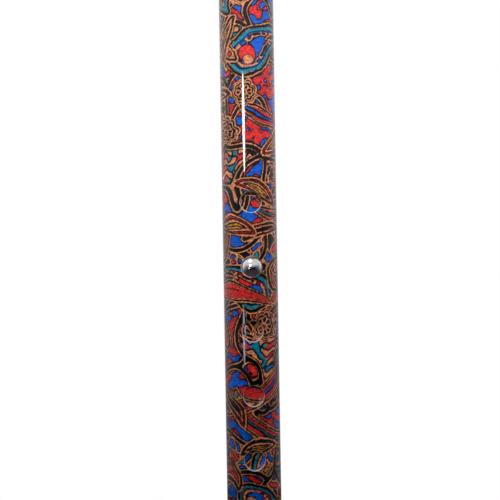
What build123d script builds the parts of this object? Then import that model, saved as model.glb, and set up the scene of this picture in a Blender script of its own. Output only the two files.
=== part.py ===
"""Height-adjustable walking cane with a printed two-tube aluminium shaft.

The cane stands on the rubber tip, with the origin at the centre of the tip's ground face, +Z up the
shaft, the derby handle running along X and the snap button facing -Y. All sizes are in millimetres.
"""

import math
import os

from build123d import *

# ---------------------------------------------------------------- tubes and the row of holes
UPPER_TUBE_DIAMETER = 22.2
TUBE_WALL = 1.2
TUBE_GAP = 0.35  # radial gap between the two tubes
UPPER_TUBE_LENGTH = 640.0
LOWER_TUBE_LENGTH = 372.0
HOLE_PITCH = 25.4
HOLE_COUNT = 7
HOLES_ABOVE_BUTTON = 1
HOLE_DIAMETER = 8.2
LOWEST_HOLE_TO_TUBE_END = 46.0
TUBE_EDGE_BREAK = 0.25

# ---------------------------------------------------------------- snap button and its leaf spring
BUTTON_BELOW_TUBE_TOP = 52.0
BUTTON_DIAMETER = 7.9
BUTTON_DOME_PROUD = 4.2  # how far the dome's top stands out of the upper tube
BUTTON_HOLE_CLEARANCE = 0.1  # radial, in the lower tube's hole
BUTTON_TRAVEL = 5.6
RIVET_DIAMETER = 4.0
RIVET_HEAD_DIAMETER = 6.4
RIVET_HEAD_THICKNESS = 0.9
RIVET_CLEARANCE = 0.05
SPRING_WIDTH = 9.0
SPRING_THICKNESS = 0.8
SPRING_FLAT_LENGTH = 20.0  # the straight part of each leg, level with the button
SPRING_LEG_LENGTH = 48.0  # from the button's centre down to the bend
SPRING_BEND_RADIUS = 2.6
SPRING_WALL_GAP = 0.3

# ---------------------------------------------------------------- glide plug in the lower tube's top
GLIDE_FLANGE_THICKNESS = 4.0
GLIDE_FLANGE_GAP = 0.1
GLIDE_PLUG_DEPTH = 14.0
GLIDE_PLUG_WALL = 1.8

# ---------------------------------------------------------------- collet and lock ring
COLLET_SLEEVE_LENGTH = 18.0
COLLET_SLEEVE_WALL = 1.7
COLLET_SHOULDER_LENGTH = 7.0
COLLET_NOSE_LENGTH = 12.0
COLLET_NOSE_WALL = 1.3
COLLET_SLOTS = 4
COLLET_SLOT_WIDTH = 1.4
COLLET_BORE_GAP = 0.1  # radial, on the lower tube
LOCK_RING_HEIGHT = 30.0
LOCK_RING_WALL = 2.1
LOCK_RING_GAP = 0.2  # radial, on the collet
LOCK_RING_FLOOR = 3.0
LOCK_RING_CONE_GAP = 0.4  # between the ring's inner cone and the collet's nose, when slack
LOCK_RING_FLUTES = 24
LOCK_RING_FLUTE_RADIUS = 1.0
LOCK_RING_RIM_HEIGHT = 3.5

# ---------------------------------------------------------------- rubber tip and its steel washer
TIP_HEIGHT = 48.0
TIP_BASE_DIAMETER = 34.0
TIP_TOP_DIAMETER = 25.0
TIP_BASE_HEIGHT = 7.0
TIP_BASE_TAPER = 0.6
TIP_FLARE = 1.2
TIP_FLARE_HEIGHT = 9.0
TIP_EDGE_ROUND = 1.0
TIP_SOLE = 8.5
TIP_RIB_COUNT = 3
TIP_RIB_PITCH = 6.0
TIP_RIB_DEPTH = 0.8
TREAD_DEPTH = 1.4
TREAD_WIDTH = 2.0
TREAD_RADII = (6.0, 10.5)
WASHER_THICKNESS = 1.5
END_PLUG_FLANGE = 1.5
END_PLUG_DEPTH = 14.0

# ---------------------------------------------------------------- handle, collar and what joins them
COLLAR_HEIGHT = 26.0
COLLAR_WALL = 1.6
COLLAR_GAP = 0.1
COLLAR_BEAD_RADIUS = 0.9
SPIGOT_HEIGHT = 9.0
PLUG_LENGTH = 45.0
STUD_DIAMETER = 8.0
STUD_IN_PLUG = 27.0
STUD_IN_HANDLE = 33.0
STUD_END_GAP = 0.8
THREAD_INSERT_DIAMETER = 12.0
THREAD_INSERT_LENGTH = 18.0
SCREW_DIAMETER = 3.5
SCREW_HEAD_DIAMETER = 5.4
SCREW_LENGTH = 5.5
SCREW_BELOW_TUBE_TOP = 9.0
HANDLE_NOSE_REACH = 40.0  # from the shaft's axis to the short end
HANDLE_TAIL_REACH = 82.0  # and to the long end, where the palm rests
HANDLE_RISE = 27.0  # from the collar to the middle of the grip
HANDLE_HEIGHT = 26.0
HANDLE_BREADTH = 26.8
HANDLE_STATIONS = (  # shares of the reach, the rise, the height and the breadth
    (-1.0, 0.70, 0.50, 0.52),
    (-0.86, 0.77, 0.81, 0.83),
    (-0.5, 0.92, 1.03, 0.99),
    (0.0, 1.0, 1.0, 1.0),
    (0.29, 0.965, 0.88, 0.97),
    (0.59, 0.96, 0.82, 0.95),
    (0.83, 1.03, 0.79, 0.94),
    (1.0, 1.13, 0.62, 0.76),
)
HANDLE_NOSE_ROUND = 5.0
HANDLE_TAIL_ROUND = 6.5
HANDLE_ROUND_LIMIT = 0.85  # the most of an end's half height that its rounding takes
HANDLE_NECK_HEIGHT = 25.0
HANDLE_NECK_STATIONS = (  # shares of the neck's height, and of the collar's radius along and across
    (0.0, 1.0, 1.0),
    (0.2, 1.02, 0.985),
    (0.4, 1.17, 0.98),
    (0.62, 1.6, 0.99),
    (0.82, 2.1, 1.01),
    (1.0, 2.45, 1.02),
)

# ---------------------------------------------------------------- sizes that follow from those above
upper_radius = UPPER_TUBE_DIAMETER / 2
upper_bore = upper_radius - TUBE_WALL
lower_radius = upper_bore - TUBE_GAP
lower_bore = lower_radius - TUBE_WALL
hole_radius = HOLE_DIAMETER / 2
button_radius = BUTTON_DIAMETER / 2

washer_top_z = TIP_SOLE + WASHER_THICKNESS
lower_bottom_z = washer_top_z + END_PLUG_FLANGE
lower_top_z = lower_bottom_z + LOWER_TUBE_LENGTH
button_z = lower_top_z - BUTTON_BELOW_TUBE_TOP
top_hole_z = button_z + HOLES_ABOVE_BUTTON * HOLE_PITCH
hole_heights = [top_hole_z - n * HOLE_PITCH for n in range(HOLE_COUNT)]
upper_bottom_z = hole_heights[-1] - LOWEST_HOLE_TO_TUBE_END
upper_top_z = upper_bottom_z + UPPER_TUBE_LENGTH

spigot_top_z = upper_top_z + SPIGOT_HEIGHT
collar_bore = upper_radius + COLLAR_GAP
collar_radius = collar_bore + COLLAR_WALL

# The dome is a half ball on a round stem; the leaf's corners clear the lower tube's bore.
dome_centre_y = -(upper_radius + BUTTON_DOME_PROUD - button_radius)
leaf_corner_y = math.sqrt((lower_bore - SPRING_WALL_GAP) ** 2 - (SPRING_WIDTH / 2) ** 2)
leaf_front_y = -leaf_corner_y
leaf_back_y = leaf_front_y + SPRING_THICKNESS


def face_plane(x, y, z):
    """The plane at that point whose normal points out of the cane's front, along -Y."""
    return Plane(origin=(x, y, z), x_dir=(1, 0, 0), z_dir=(0, -1, 0))


def save(part, label):
    """Labels a finished piece and writes its STEP file."""
    part.label = label
    export_step(part, f"parts/{label}.step")


os.makedirs("parts", exist_ok=True)

# ---------------------------------------------------------------- upper tube: the printed outer tube
with BuildPart() as upper_tube:
    with BuildSketch(Plane.XY.offset(upper_bottom_z)):
        Circle(upper_radius)
        Circle(upper_bore, mode=Mode.SUBTRACT)
    extrude(amount=UPPER_TUBE_LENGTH)
    tube_rims = upper_tube.edges().filter_by(GeomType.CIRCLE)
    chamfer(tube_rims, TUBE_EDGE_BREAK)
    for height in hole_heights:
        with BuildSketch(face_plane(0, 0, height)):
            Circle(hole_radius)
        extrude(amount=UPPER_TUBE_DIAMETER, mode=Mode.SUBTRACT)
    for side in (0, 180):
        screw_plane = Plane(
            origin=(0, 0, upper_top_z - SCREW_BELOW_TUBE_TOP),
            x_dir=(0, 1, 0),
            z_dir=(math.cos(math.radians(side)), 0, 0),
        )
        with BuildSketch(screw_plane):
            Circle(SCREW_HEAD_DIAMETER / 2)
        extrude(amount=UPPER_TUBE_DIAMETER, mode=Mode.SUBTRACT)
save(upper_tube.part, "upper_tube")

# ---------------------------------------------------------------- lower tube: slides inside the upper
with BuildPart() as lower_tube:
    with BuildSketch(Plane.XY.offset(lower_bottom_z)):
        Circle(lower_radius)
        Circle(lower_bore, mode=Mode.SUBTRACT)
    extrude(amount=LOWER_TUBE_LENGTH)
    lower_rims = lower_tube.edges().filter_by(GeomType.CIRCLE)
    chamfer(lower_rims, TUBE_EDGE_BREAK)
    with BuildSketch(face_plane(0, 0, button_z)):
        Circle(button_radius + BUTTON_HOLE_CLEARANCE)
    extrude(amount=UPPER_TUBE_DIAMETER, mode=Mode.SUBTRACT)
save(lower_tube.part, "lower_tube")

# ---------------------------------------------------------------- glide plug: keeps the tubes quiet
with BuildPart() as glide_plug:
    with BuildSketch(Plane.XY.offset(lower_top_z)):
        Circle(upper_bore - GLIDE_FLANGE_GAP)
    extrude(amount=GLIDE_FLANGE_THICKNESS)
    chamfer(glide_plug.edges().group_by(Axis.Z)[-1], GLIDE_FLANGE_THICKNESS / 5)
    with BuildSketch(Plane.XY.offset(lower_top_z)):
        Circle(lower_bore)
    extrude(amount=-GLIDE_PLUG_DEPTH)
    with BuildSketch(Plane.XY.offset(lower_top_z - GLIDE_PLUG_DEPTH)):
        Circle(lower_bore - GLIDE_PLUG_WALL)
    extrude(amount=GLIDE_PLUG_DEPTH, mode=Mode.SUBTRACT)
save(glide_plug.part, "glide_plug")

# ---------------------------------------------------------------- snap button: dome, stem and rivet tail
tail_y = leaf_back_y + RIVET_HEAD_THICKNESS
with BuildPart() as snap_button:
    with BuildSketch(Plane.XY.offset(button_z)) as button_profile:
        with BuildLine():
            Line((0, tail_y), (RIVET_HEAD_DIAMETER / 2, tail_y))
            Line((RIVET_HEAD_DIAMETER / 2, tail_y), (RIVET_HEAD_DIAMETER / 2, leaf_back_y))
            Line((RIVET_HEAD_DIAMETER / 2, leaf_back_y), (RIVET_DIAMETER / 2, leaf_back_y))
            Line((RIVET_DIAMETER / 2, leaf_back_y), (RIVET_DIAMETER / 2, leaf_front_y))
            Line((RIVET_DIAMETER / 2, leaf_front_y), (button_radius, leaf_front_y))
            Line((button_radius, leaf_front_y), (button_radius, dome_centre_y))
            CenterArc((0, dome_centre_y), button_radius, 0, -90)
            Line((0, dome_centre_y - button_radius), (0, tail_y))
        make_face()
    revolve(axis=Axis((0, 0, button_z), (0, 1, 0)))
save(snap_button.part, "snap_button")

# ---------------------------------------------------------------- V-shaped leaf spring behind the button
bend_z = button_z - SPRING_LEG_LENGTH
flat_bottom_z = button_z - SPRING_FLAT_LENGTH / 2
flat_top_z = button_z + SPRING_FLAT_LENGTH / 2
leg_mid_y = leaf_front_y + SPRING_THICKNESS / 2
with BuildPart() as button_spring:
    with BuildSketch(Plane.YZ.offset(-SPRING_WIDTH / 2)):
        with BuildLine() as spring_line:
            Line((leg_mid_y, flat_top_z), (leg_mid_y, flat_bottom_z))
            Line((leg_mid_y, flat_bottom_z), (-SPRING_BEND_RADIUS, bend_z))
            CenterArc((0, bend_z), SPRING_BEND_RADIUS, 180, 180)
            Line((SPRING_BEND_RADIUS, bend_z), (-leg_mid_y, flat_bottom_z))
            Line((-leg_mid_y, flat_bottom_z), (-leg_mid_y, flat_top_z))
            offset(amount=SPRING_THICKNESS / 2, side=Side.BOTH)
        make_face()
    extrude(amount=SPRING_WIDTH)
    with BuildSketch(face_plane(0, leaf_back_y + SPRING_THICKNESS, button_z)):
        Circle(RIVET_DIAMETER / 2 + RIVET_CLEARANCE)
    extrude(amount=3 * SPRING_THICKNESS, mode=Mode.SUBTRACT)
save(button_spring.part, "button_spring")

# ---------------------------------------------------------------- collet: threaded sleeve with a slotted nose
collet_bore = lower_radius + COLLET_BORE_GAP
collet_radius = upper_radius + COLLET_SLEEVE_WALL
collet_nose_radius = collet_bore + COLLET_NOSE_WALL
collet_top_z = upper_bottom_z + COLLET_SLEEVE_LENGTH
nose_top_z = upper_bottom_z - COLLET_SHOULDER_LENGTH
nose_bottom_z = nose_top_z - COLLET_NOSE_LENGTH
with BuildPart() as collet:
    with BuildSketch(Plane.XZ):
        with BuildLine():
            Polyline(
                (collet_bore, nose_bottom_z),
                (collet_nose_radius, nose_bottom_z),
                (collet_nose_radius + COLLET_NOSE_WALL, nose_top_z),
                (collet_radius, nose_top_z),
                (collet_radius, collet_top_z),
                (upper_radius, collet_top_z),
                (upper_radius, upper_bottom_z),
                (collet_bore, upper_bottom_z),
                close=True,
            )
        make_face()
    revolve(axis=Axis.Z)
    with BuildSketch(Plane.XY.offset(nose_bottom_z)):
        with PolarLocations(collet_nose_radius, COLLET_SLOTS, start_angle=45):
            Rectangle(4 * COLLET_NOSE_WALL, COLLET_SLOT_WIDTH)
    extrude(amount=COLLET_NOSE_LENGTH, mode=Mode.SUBTRACT)
save(collet.part, "collet")

# ---------------------------------------------------------------- lock ring: turns on the collet's thread
ring_bore = collet_radius + LOCK_RING_GAP
ring_radius = ring_bore + LOCK_RING_WALL
ring_floor_top_z = nose_bottom_z - LOCK_RING_CONE_GAP
ring_bottom_z = ring_floor_top_z - LOCK_RING_FLOOR
ring_top_z = ring_bottom_z + LOCK_RING_HEIGHT
with BuildPart() as lock_ring:
    with BuildSketch(Plane.XY.offset(ring_bottom_z)):
        Circle(ring_radius)
    extrude(amount=LOCK_RING_HEIGHT)
    chamfer(lock_ring.edges().group_by(Axis.Z)[-1], LOCK_RING_WALL / 3)
    fillet(lock_ring.edges().group_by(Axis.Z)[0], LOCK_RING_FLOOR / 2)
    with BuildSketch(Plane.XZ) as ring_hollow:
        with BuildLine():
            Polyline(
                (0, ring_bottom_z),
                (collet_bore + LOCK_RING_GAP, ring_bottom_z),
                (collet_bore + LOCK_RING_GAP, ring_floor_top_z),
                (collet_nose_radius + LOCK_RING_CONE_GAP, ring_floor_top_z),
                (ring_bore, nose_top_z - LOCK_RING_CONE_GAP),
                (ring_bore, ring_top_z),
                (0, ring_top_z),
                close=True,
            )
        make_face()
    revolve(axis=Axis.Z, mode=Mode.SUBTRACT)
    with BuildSketch(Plane.XY.offset(ring_bottom_z + LOCK_RING_RIM_HEIGHT)):
        with PolarLocations(ring_radius + LOCK_RING_FLUTE_RADIUS / 2, LOCK_RING_FLUTES):
            Circle(LOCK_RING_FLUTE_RADIUS)
    extrude(amount=LOCK_RING_HEIGHT - 2 * LOCK_RING_RIM_HEIGHT, mode=Mode.SUBTRACT)
save(lock_ring.part, "lock_ring")

# ---------------------------------------------------------------- rubber tip and the washer inside it
tip_base_radius = TIP_BASE_DIAMETER / 2
tip_top_radius = TIP_TOP_DIAMETER / 2
with BuildPart() as rubber_tip:
    with BuildSketch(Plane.XZ):
        with BuildLine():
            base_edge = Line((tip_base_radius, 0), (tip_base_radius - TIP_BASE_TAPER, TIP_BASE_HEIGHT))
            Spline(
                base_edge @ 1,
                (tip_top_radius + TIP_FLARE, TIP_BASE_HEIGHT + TIP_FLARE_HEIGHT),
                (tip_top_radius, TIP_HEIGHT),
                tangents=((-0.9, 1.0), (0, 1)),
            )
            Line((tip_top_radius, TIP_HEIGHT), (0, TIP_HEIGHT))
            Line((0, TIP_HEIGHT), (0, 0))
            Line((0, 0), (tip_base_radius, 0))
        make_face()
    revolve(axis=Axis.Z)
    fillet(rubber_tip.edges().group_by(Axis.Z)[0], TIP_EDGE_ROUND)
    fillet(rubber_tip.edges().group_by(Axis.Z)[-1], TIP_EDGE_ROUND)
    for rib in range(TIP_RIB_COUNT):
        with BuildSketch(Plane.XY.offset(TIP_HEIGHT - TIP_RIB_PITCH * (rib + 1))):
            Circle(tip_base_radius)
            Circle(tip_top_radius - TIP_RIB_DEPTH, mode=Mode.SUBTRACT)
        extrude(amount=TIP_RIB_DEPTH, mode=Mode.SUBTRACT)
    with BuildSketch(Plane.XY.offset(TIP_SOLE)):
        Circle(lower_radius)
    extrude(amount=TIP_HEIGHT, mode=Mode.SUBTRACT)
    for radius in TREAD_RADII:
        with BuildSketch(Plane.XY):
            Circle(radius + TREAD_WIDTH / 2)
            Circle(radius - TREAD_WIDTH / 2, mode=Mode.SUBTRACT)
        extrude(amount=TREAD_DEPTH, mode=Mode.SUBTRACT)
save(rubber_tip.part, "rubber_tip")

with BuildPart() as tip_washer:
    with BuildSketch(Plane.XY.offset(TIP_SOLE)):
        Circle(lower_radius)
    extrude(amount=WASHER_THICKNESS)
save(tip_washer.part, "tip_washer")

with BuildPart() as end_plug:
    with BuildSketch(Plane.XY.offset(washer_top_z)):
        Circle(lower_radius)
    extrude(amount=END_PLUG_FLANGE)
    with BuildSketch(Plane.XY.offset(lower_bottom_z)):
        Circle(lower_bore)
    extrude(amount=END_PLUG_DEPTH)
    chamfer(end_plug.edges().group_by(Axis.Z)[-1], TUBE_WALL)
save(end_plug.part, "end_plug")

# ---------------------------------------------------------------- plug, screws, stud and thread insert
stud_bottom_z = upper_top_z - STUD_IN_PLUG
stud_top_z = upper_top_z + STUD_IN_HANDLE
screw_z = upper_top_z - SCREW_BELOW_TUBE_TOP
with BuildPart() as tube_plug:
    with BuildSketch(Plane.XY.offset(upper_top_z - PLUG_LENGTH)):
        Circle(upper_bore)
    extrude(amount=PLUG_LENGTH)
    chamfer(tube_plug.edges().group_by(Axis.Z)[0], TUBE_WALL)
    with BuildSketch(Plane.XY.offset(stud_bottom_z)):
        Circle(STUD_DIAMETER / 2)
    extrude(amount=STUD_IN_PLUG, mode=Mode.SUBTRACT)
    for side in (1, -1):
        plug_screw_plane = Plane(
            origin=(side * upper_radius, 0, screw_z), x_dir=(0, 1, 0), z_dir=(-side, 0, 0)
        )
        with BuildSketch(plug_screw_plane):
            Circle(SCREW_DIAMETER / 2)
        extrude(amount=SCREW_LENGTH, mode=Mode.SUBTRACT)
save(tube_plug.part, "tube_plug")

with BuildPart() as plug_screws:
    for side in (1, -1):
        head_plane = Plane(
            origin=(side * upper_radius, 0, screw_z), x_dir=(0, 1, 0), z_dir=(-side, 0, 0)
        )
        with BuildSketch(head_plane.offset(TUBE_EDGE_BREAK)):
            Circle(SCREW_HEAD_DIAMETER / 2 - COLLAR_GAP)
        extrude(amount=TUBE_WALL - TUBE_EDGE_BREAK)
        with BuildSketch(head_plane.offset(TUBE_EDGE_BREAK)):
            Circle(SCREW_DIAMETER / 2)
        extrude(amount=SCREW_LENGTH - TUBE_EDGE_BREAK)
save(plug_screws.part, "plug_screws")

with BuildPart() as handle_stud:
    with BuildSketch(Plane.XY.offset(stud_bottom_z)):
        Circle(STUD_DIAMETER / 2)
    extrude(amount=stud_top_z - stud_bottom_z)
    chamfer(handle_stud.edges().filter_by(GeomType.CIRCLE), STUD_DIAMETER / 10)
save(handle_stud.part, "handle_stud")

with BuildPart() as thread_insert:
    with BuildSketch(Plane.XY.offset(upper_top_z)):
        Circle(THREAD_INSERT_DIAMETER / 2)
        Circle(STUD_DIAMETER / 2, mode=Mode.SUBTRACT)
    extrude(amount=THREAD_INSERT_LENGTH)
save(thread_insert.part, "thread_insert")

# ---------------------------------------------------------------- collar: the bright band under the handle
with BuildPart() as collar:
    with BuildSketch(Plane.XZ):
        with BuildLine():
            Polyline(
                (collar_bore, spigot_top_z - COLLAR_HEIGHT),
                (collar_radius, spigot_top_z - COLLAR_HEIGHT),
                (collar_radius, spigot_top_z),
                (collar_bore, spigot_top_z),
                close=True,
            )
        make_face()
        bead_inset = 2 * COLLAR_BEAD_RADIUS
        for bead_z in (spigot_top_z - COLLAR_HEIGHT + bead_inset, spigot_top_z - bead_inset):
            with Locations((collar_radius, bead_z)):
                Circle(COLLAR_BEAD_RADIUS)
    revolve(axis=Axis.Z)
save(collar.part, "collar")

# ---------------------------------------------------------------- derby handle
with BuildPart() as handle:
    for place, rise, height, breadth in HANDLE_STATIONS:
        reach = HANDLE_TAIL_REACH if place > 0 else HANDLE_NOSE_REACH
        with BuildSketch(Plane.YZ.offset(place * reach)):
            with Locations((0, spigot_top_z + rise * HANDLE_RISE)):
                Ellipse(breadth * HANDLE_BREADTH / 2, height * HANDLE_HEIGHT / 2)
    loft()
    nose_half_height = HANDLE_STATIONS[0][2] * HANDLE_HEIGHT / 2
    nose_rim = handle.edges().sort_by(Axis.X)[0]
    fillet(nose_rim, min(HANDLE_NOSE_ROUND, HANDLE_ROUND_LIMIT * nose_half_height))
    tail_half_height = HANDLE_STATIONS[-1][2] * HANDLE_HEIGHT / 2
    tail_rim = handle.edges().sort_by(Axis.X)[-1]
    fillet(tail_rim, min(HANDLE_TAIL_ROUND, HANDLE_ROUND_LIMIT * tail_half_height))
    for height, length, width in HANDLE_NECK_STATIONS:
        with BuildSketch(Plane.XY.offset(spigot_top_z + height * HANDLE_NECK_HEIGHT)):
            Ellipse(length * collar_radius, width * collar_radius)
    loft()
    with BuildSketch(Plane.XY.offset(upper_top_z)):
        Circle(upper_radius)
    extrude(amount=SPIGOT_HEIGHT)
    with BuildSketch(Plane.XY.offset(upper_top_z)):
        Circle(THREAD_INSERT_DIAMETER / 2)
    extrude(amount=THREAD_INSERT_LENGTH, mode=Mode.SUBTRACT)
    with BuildSketch(Plane.XY.offset(upper_top_z)):
        Circle(STUD_DIAMETER / 2)
    extrude(amount=STUD_IN_HANDLE + STUD_END_GAP, mode=Mode.SUBTRACT)
save(handle.part, "handle")
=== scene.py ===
"""Looks of a height-adjustable walking cane with a printed two-tube aluminium shaft.

The frame is in metres. Shapes here are worked out in millimetres and scaled once, in mesh_object.
"""

import math
from math import pi

import bmesh
import bpy
import numpy as np
from mathutils import Matrix, Vector


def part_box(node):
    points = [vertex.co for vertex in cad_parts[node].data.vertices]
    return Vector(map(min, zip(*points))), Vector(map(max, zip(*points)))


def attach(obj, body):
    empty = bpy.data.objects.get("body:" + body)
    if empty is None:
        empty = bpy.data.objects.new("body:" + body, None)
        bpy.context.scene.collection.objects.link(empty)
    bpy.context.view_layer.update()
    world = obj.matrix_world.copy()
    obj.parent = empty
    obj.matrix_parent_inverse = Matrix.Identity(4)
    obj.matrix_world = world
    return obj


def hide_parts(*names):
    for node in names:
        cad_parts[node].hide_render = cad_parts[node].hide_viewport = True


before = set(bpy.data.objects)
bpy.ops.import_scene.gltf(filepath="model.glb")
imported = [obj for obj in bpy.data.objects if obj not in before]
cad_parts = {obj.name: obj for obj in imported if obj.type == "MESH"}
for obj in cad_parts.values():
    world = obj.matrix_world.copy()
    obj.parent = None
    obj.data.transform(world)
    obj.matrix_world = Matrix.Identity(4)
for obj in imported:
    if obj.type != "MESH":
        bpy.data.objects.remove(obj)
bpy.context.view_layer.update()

MM = 1000
HOLE_PITCH = 25.4
HOLE_RADIUS = 4.1
HOLES = range(-5, 2)  # hole pitches above the snap button, from the lowest hole to the highest
BUTTON_HOLE_RADIUS = 4.05
SCREW_HOLE_RADIUS = 2.7
TUBE_WALL = 1.2
EDGE_BREAK = 0.25
HOLE_EDGE = 0.2  # the rounding of a hole's outer edge, where the metal shows


def extent(node):
    """The lowest and highest corners of a CAD node, in millimetres."""
    low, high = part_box(node)
    return np.array(low) * MM, np.array(high) * MM


button_low, button_high = extent("snap_button")
button_height = (button_low[2] + button_high[2]) / 2
screw_height = sum(corner[2] for corner in extent("plug_screws")) / 2


# --------------------------------------
# Meshes

SHARP_ANGLE = math.radians(30)  # between two faces, from which their edge is drawn sharp
RIM_MAP_LEFT, RIM_MAP_WIDTH = 0.93, 0.06  # where the map holds the walls of holes and the ends


def mesh_object(name, points, faces, materials, kinds=None, uvs=None):
    """A smooth mesh from points in millimetres and face arrays of equal corner counts.

    kinds holds one material number per face array, and uvs one array of corner places each.
    """
    mesh = bpy.data.meshes.new(name)
    corners = np.concatenate([f.ravel() for f in faces])
    sizes = np.concatenate([np.full(len(f), f.shape[1]) for f in faces])
    mesh.vertices.add(len(points))
    mesh.vertices.foreach_set("co", (points / MM).astype(np.float32).ravel())
    mesh.loops.add(len(corners))
    mesh.loops.foreach_set("vertex_index", corners.astype(np.int32))
    mesh.polygons.add(len(sizes))
    mesh.polygons.foreach_set("loop_start", np.cumsum(sizes).astype(np.int32) - sizes)
    for material in materials:
        mesh.materials.append(material)
    if kinds is not None:
        counts = [len(f) for f in faces]
        mesh.polygons.foreach_set("material_index", np.repeat(kinds, counts).astype(np.int32))
    mesh.update(calc_edges=True)
    if uvs is not None:
        layer = mesh.uv_layers.new(name="OFBake")
        places = np.concatenate([uv.reshape(-1, 2) for uv in uvs])
        layer.data.foreach_set("uv", places.astype(np.float32).ravel())
    mesh.shade_smooth()
    mesh.set_sharp_from_angle(angle=SHARP_ANGLE)
    piece = bpy.data.objects.new(name, mesh)
    bpy.context.scene.collection.objects.link(piece)
    return piece


def strip(a, b):
    """Quads between two closed loops of as many points."""
    return np.stack((a, np.roll(a, -1), np.roll(b, -1), b), 1)


def fan(fine, coarse):
    """Triangles between a closed loop and one with a quarter as many points."""
    f0, f1, f2, f3 = fine.reshape(-1, 4).T
    f4, c0, c1 = np.roll(f0, -1), coarse, np.roll(coarse, -1)
    return np.concatenate([np.stack(t, 1) for t in (
        (f0, f1, c0), (f1, f2, c0), (f2, c1, c0), (f2, f3, c1), (f3, f4, c1))])


def round_shares(count):
    """How far round a closed loop each of its points and the closing one lie, from 0 to 1."""
    return np.arange(count + 1) / count


def strip_map(count, low, high):
    """The map places of a strip's corners, as a level band from one height to another."""
    share = RIM_MAP_LEFT + RIM_MAP_WIDTH * round_shares(count)
    a, b = share[:-1], share[1:]
    lows, highs = np.full(count, low), np.full(count, high)
    return np.stack((a, lows, b, lows, b, highs, a, highs), 1).reshape(-1, 4, 2)


def fan_map(count, low, high):
    """The map places of a fan's corners, laid out as a strip's are."""
    share = RIM_MAP_LEFT + RIM_MAP_WIDTH * round_shares(4 * count)
    f0, f1, f2, f3, f4 = (share[n:n + 4 * count:4] for n in range(5))
    lows, highs = np.full(count, low), np.full(count, high)
    return np.concatenate([np.stack(t, 1).reshape(-1, 3, 2) for t in (
        (f0, lows, f1, lows, f0, highs), (f1, lows, f2, lows, f0, highs),
        (f2, lows, f4, highs, f0, highs), (f2, lows, f3, lows, f4, highs),
        (f3, lows, f4, lows, f4, highs))])


def joined(a, b, low, high):
    """Faces from one closed loop to the next, of as many points or a quarter, and their map."""
    if len(a) == len(b):
        return strip(a, b), strip_map(len(a), low, high)
    return fan(a, b), fan_map(len(b), low, high)


def square_loop(half):
    """Row and column steps round a square, anticlockwise from its lower left corner."""
    side, edge = np.arange(-half, half), np.full(2 * half, half)
    return np.concatenate((-edge, side, edge, -side)), np.concatenate((side, edge, -side, -edge))


def revolved(name, profile, centre, axis, around, materials):
    """A profile of (distance along the axis, radius) pairs turned about an axis.

    Its points are the centre plus the distance along the axis plus the radius times a turning unit
    vector. A radius of nought at an end closes it with one point.
    """
    axis = np.asarray(axis, float)
    side = np.cross(axis, (0, 0, 1) if abs(axis[2]) < 0.9 else (1, 0, 0))
    side /= np.linalg.norm(side)
    turn = 2 * pi * np.arange(around) / around
    spoke = np.cos(turn)[:, None] * side + np.sin(turn)[:, None] * np.cross(axis, side)
    points, loops, faces = [], [], []
    count = 0
    for along, radius in profile:
        ring = centre + along * axis + (radius * spoke if radius else np.zeros((1, 3)))
        points.append(ring)
        loops.append(np.arange(count, count + len(ring)))
        count += len(ring)
    for a, b in zip(loops, loops[1:]):
        if len(a) == 1:
            faces.append(np.stack((np.full(around, a[0]), np.roll(b, -1), b), 1))
        elif len(b) == 1:
            faces.append(np.stack((a, np.roll(a, -1), np.full(around, b[0])), 1))
        else:
            faces.append(strip(a, b))
    return mesh_object(name, np.concatenate(points), faces, materials)


# --------------------------------------
# The print: ink on the unrolled wall of a tube. Lengths here are in the print's own unit: u runs
# round the tube from its front, and v up it.

PRINT_UNIT = 1.2  # in millimetres
NO_LINE = 9.0  # a distance that stands for no line nearby
FAR = 1e3  # a distance beyond any on a tube
COPPER_HALF = 0.17  # half the width of a copper line between fields and round motifs
INNER_HALF = 0.2  # the same inside a motif
BLACK_WEIGHT = 1.25  # how much wider all black lines are than their halves say
DROP_MARGIN, LEAF_MARGIN, RIBBON_MARGIN = 1.3, 0.6, 0.95  # black between a motif and its outline
NET_ROWS = 2 ** 10  # rows of random shifts in a net before they come again


def ink(red, green, blue):
    """A display colour, from 0 to 255 a channel, as linear light."""
    level = np.array((red, green, blue)) / 255
    return np.where(level <= 0.04045, level / 12.92, ((level + 0.055) / 1.055) ** 2.4)


COPPER = ink(220, 142, 97)
BLACK = ink(15, 11, 13)
BLUE = ink(0, 92, 208)
RED = ink(218, 46, 48)
TEAL = ink(4, 134, 162)
GOLD = ink(214, 150, 60)


def drift(u, v, girth, size, seed, waves=7):
    """A smooth field of about unit height: the sum of sine waves that close round the tube."""
    rng = np.random.default_rng(seed)
    most_turns = max(1, round(girth / size))
    field = np.zeros_like(u)
    for _ in range(waves):
        turns = rng.integers(-most_turns, most_turns + 1)
        climb = rng.uniform(-1, 1) * 2 * pi / size
        field += np.sin(2 * pi * turns * u / girth + climb * v + rng.uniform(0, 2 * pi))
    return field * math.sqrt(2 / waves)


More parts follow.
